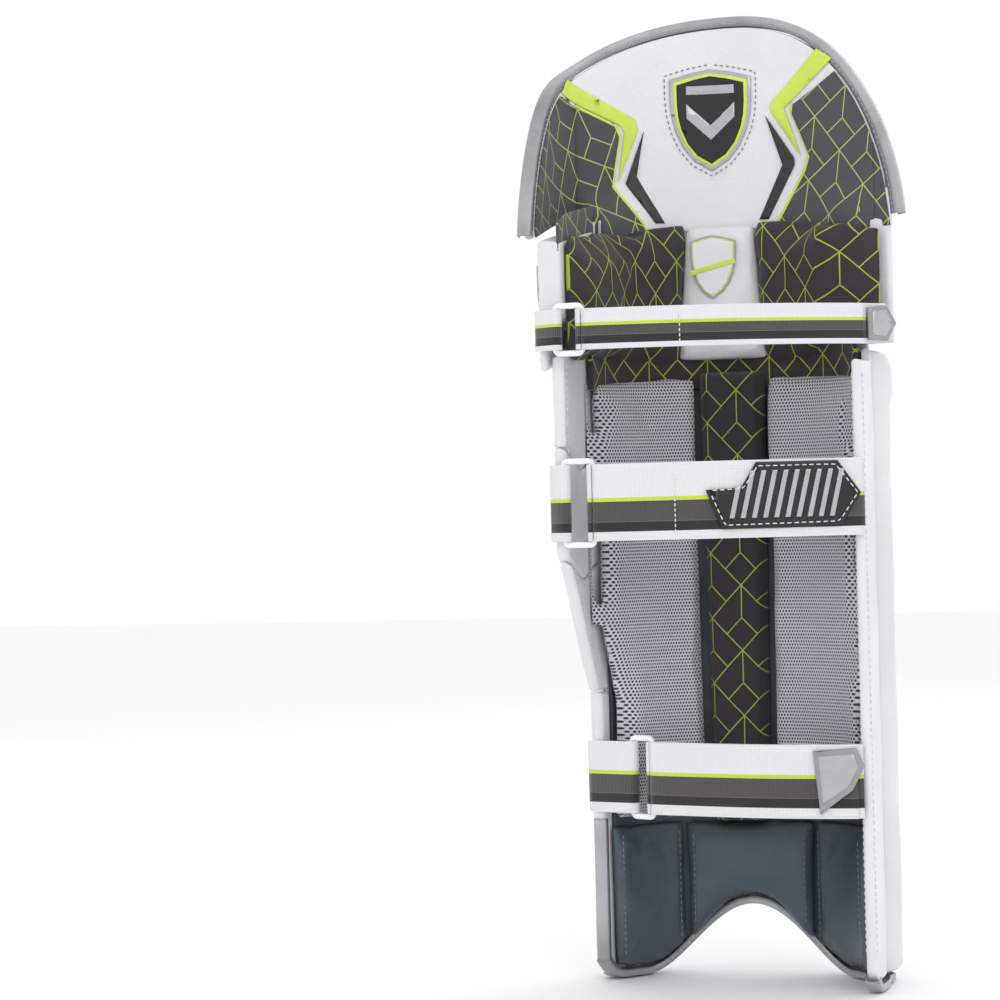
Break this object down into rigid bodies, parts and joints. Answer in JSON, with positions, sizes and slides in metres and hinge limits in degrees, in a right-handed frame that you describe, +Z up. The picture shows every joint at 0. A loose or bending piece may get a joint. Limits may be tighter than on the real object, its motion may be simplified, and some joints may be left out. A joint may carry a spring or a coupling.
{
  "type": "cricket leg pad",
  "caption": "Left batting leg pad: upright padded rolls, quilted knee, curved top flap, padded lining inside and webbing straps with hook-and-loop ends through rings.",
  "frame": {"origin": "middle of the bounding box's footprint, on the floor plane the two base lobes stand on", "axes": "+Z up the leg, -Y out of the pad's front face, +X to the outside of the left leg"},
  "size_m": [0.2538, 0.1634, 0.666],
  "materials": {
    "white_leather": "smooth synthetic leather, low sheen",
    "silver_binding": "metallic grey binding tape, stitched",
    "mesh_fabric": "open spacer mesh, dark holes",
    "lattice_fabric": "dark knit with printed yellow-green lattice",
    "slate_lining": "fine-grained lining",
    "canvas": "plain woven",
    "webbing": "ribbed webbing with woven stripes",
    "ring_plastic": "moulded",
    "tab_silver": "moulded silver rubber patch",
    "badge": "moulded badge with stitched edge",
    "foam": "closed-cell foam board"
  },
  "bodies": {
    "shin": {"shin_roll_1": "white_leather", "shin_roll_2": "white_leather", "shin_roll_3": "white_leather", "shin_roll_4": "white_leather", "shin_roll_5": "white_leather", "shin_roll_6": "white_leather", "shin_roll_7": "white_leather", "shin_stiffener": "foam", "shin_backing": "canvas", "instep_panel": "white_leather", "instep_badge": "badge", "outer_wing_upper": "white_leather", "outer_wing_middle": "white_leather", "outer_wing_lower": "white_leather", "outer_side_strip": "white_leather", "inner_wing": "white_leather", "centre_strip": "lattice_fabric", "mesh_bolster_outer": "mesh_fabric", "mesh_bolster_inner": "mesh_fabric", "ankle_lining_inner": "slate_lining", "ankle_lining_centre": "slate_lining", "ankle_lining_outer": "slate_lining", "base_binding": "silver_binding", "calf_strap": "webbing", "calf_ring": "ring_plastic", "calf_anchor": "webbing", "ankle_strap": "webbing", "ankle_ring": "ring_plastic", "ankle_anchor": "webbing"},
    "knee": {"knee_roll_lower": "white_leather", "knee_roll_middle": "white_leather", "knee_roll_upper": "white_leather", "knee_backing": "canvas", "knee_inner_panel": "white_leather", "knee_wing": "white_leather", "knee_wing_badge": "badge", "knee_centre_pad": "white_leather", "knee_bolster_outer": "lattice_fabric", "knee_bolster_inner": "lattice_fabric", "knee_strap": "webbing", "knee_ring": "ring_plastic", "knee_anchor": "webbing"},
    "top_flap": {"flap_roll_1": "white_leather", "flap_roll_2": "white_leather", "flap_roll_3": "white_leather", "flap_roll_4": "white_leather", "flap_roll_5": "white_leather", "flap_roll_6": "white_leather", "flap_roll_7": "white_leather", "flap_backing": "white_leather", "flap_side_panel": "white_leather", "flap_binding": "silver_binding", "flap_badge": "badge"},
    "knee_strap_end": {"knee_strap_return": "webbing", "knee_tab": "tab_silver"},
    "calf_strap_end": {"calf_strap_return": "webbing", "calf_tab": "tab_silver"},
    "ankle_strap_end": {"ankle_strap_return": "webbing", "ankle_tab": "tab_silver"}
  },
  "joints": [
    {"name": "knee_flex", "type": "hinge", "parent": "shin", "child": "knee", "pos_m": [0, -0.0247, 0.43], "axis": [1, 0, 0], "range_deg": [-6, 3]},
    {"name": "flap_flex", "type": "hinge", "parent": "knee", "child": "top_flap", "pos_m": [0, -0.0397, 0.53], "axis": [1, 0, 0], "range_deg": [-8, 7]},
    {"name": "knee_strap_peel", "type": "hinge", "parent": "knee", "child": "knee_strap_end", "pos_m": [0.07879, 0.08176, 0.4445], "axis": [0, 0, -1], "range_deg": [0, 150]},
    {"name": "calf_strap_peel", "type": "hinge", "parent": "shin", "child": "calf_strap_end", "pos_m": [0.07504, 0.07775, 0.3295], "axis": [0, 0, -1], "range_deg": [0, 150]},
    {"name": "ankle_strap_peel", "type": "hinge", "parent": "shin", "child": "ankle_strap_end", "pos_m": [0.0536, 0.01732, 0.1415], "axis": [0, 0, -1], "range_deg": [0, 150]}
  ]
}
